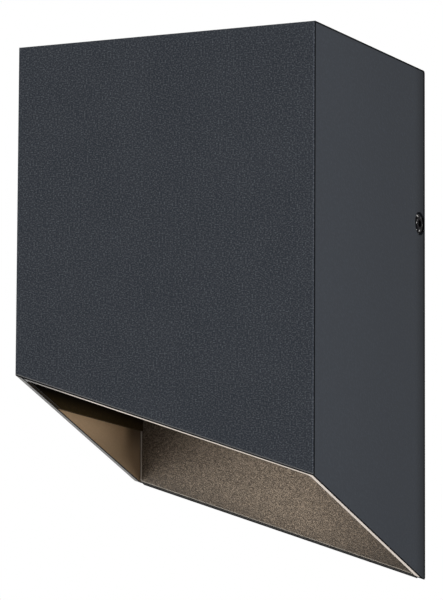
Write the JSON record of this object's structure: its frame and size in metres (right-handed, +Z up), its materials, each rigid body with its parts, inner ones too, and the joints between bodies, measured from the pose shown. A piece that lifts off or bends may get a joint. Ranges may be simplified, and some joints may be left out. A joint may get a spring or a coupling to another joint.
{
  "type": "outdoor wall light",
  "caption": "Box-shaped outdoor wall light with a slant-cut open lower end, a bronze light chamber and a pull-off cover held by side screws.",
  "frame": {"origin": "midway between the two wall screw slots, on the wall plate's back face", "axes": "+X to the right seen from the front, +Y into the wall, +Z up"},
  "size_m": [0.11, 0.093, 0.1766],
  "materials": {
    "anthracite": "fine-textured powder coat outside, bronze paint inside",
    "dark_steel": "black oxide",
    "black_coat": "matt black coat on sheet steel",
    "zinc_steel": "zinc plated",
    "bronze": "metallic bronze paint",
    "dark_brown": "matt dark brown paint",
    "aluminium": "raw sheet",
    "opal": "opal diffusing sheet",
    "white_plastic": "moulded",
    "board": "white solder mask",
    "chip": "phosphor",
    "grey_pad": "soft sheet",
    "black_rubber": "matt",
    "silicone": "translucent grey",
    "brass": "plain",
    "brown_lead": "insulation",
    "blue_lead": "insulation",
    "green_lead": "insulation",
    "red_lead": "insulation",
    "black_lead": "insulation"
  },
  "bodies": {
    "wall_plate": {"wall_plate": "black_coat", "clamp_screws": "zinc_steel", "block_screws": "zinc_steel", "shelf_screws": "zinc_steel", "driver_screws": "zinc_steel", "board_screws": "zinc_steel", "terminal_screws": "zinc_steel", "frame_screws": "zinc_steel", "reflector_screws": "zinc_steel", "reflector": "bronze", "glare_baffle": "dark_brown", "gear_shelf": "aluminium", "lens_frame": "aluminium", "diffuser": "opal", "driver_case": "white_plastic", "driver_lid": "white_plastic", "terminal_block": "white_plastic", "cable_clamp": "white_plastic", "led_board": "board", "led_chips": "chip", "thermal_pad": "grey_pad", "rain_seal": "black_rubber", "cable_grommet": "black_rubber", "lead_grommet": "black_rubber", "frame_seal": "silicone", "diffuser_seal": "silicone", "earth_ring": "brass", "earth_screw": "brass", "live_lead": "brown_lead", "neutral_lead": "blue_lead", "earth_lead": "green_lead", "led_lead_positive": "red_lead", "led_lead_negative": "black_lead"},
    "cover": {"cover": "anthracite", "clamp_bars": "zinc_steel"},
    "left_screw": {"left_screw": "dark_steel"},
    "right_screw": {"right_screw": "dark_steel"}
  },
  "joints": [
    {"name": "cover_pull_off", "type": "slide", "parent": "wall_plate", "child": "cover", "axis": [0, -1, 0], "range_m": [0, 0.1]},
    {"name": "left_screw_turn", "type": "hinge", "parent": "cover", "child": "left_screw", "pos_m": [-0.0528, -0.0048, -0.0162], "axis": [1, 0, 0], "range_deg": [0, 360]},
    {"name": "right_screw_turn", "type": "hinge", "parent": "cover", "child": "right_screw", "pos_m": [0.0528, -0.0048, -0.0162], "axis": [-1, 0, 0], "range_deg": [0, 360]}
  ]
}
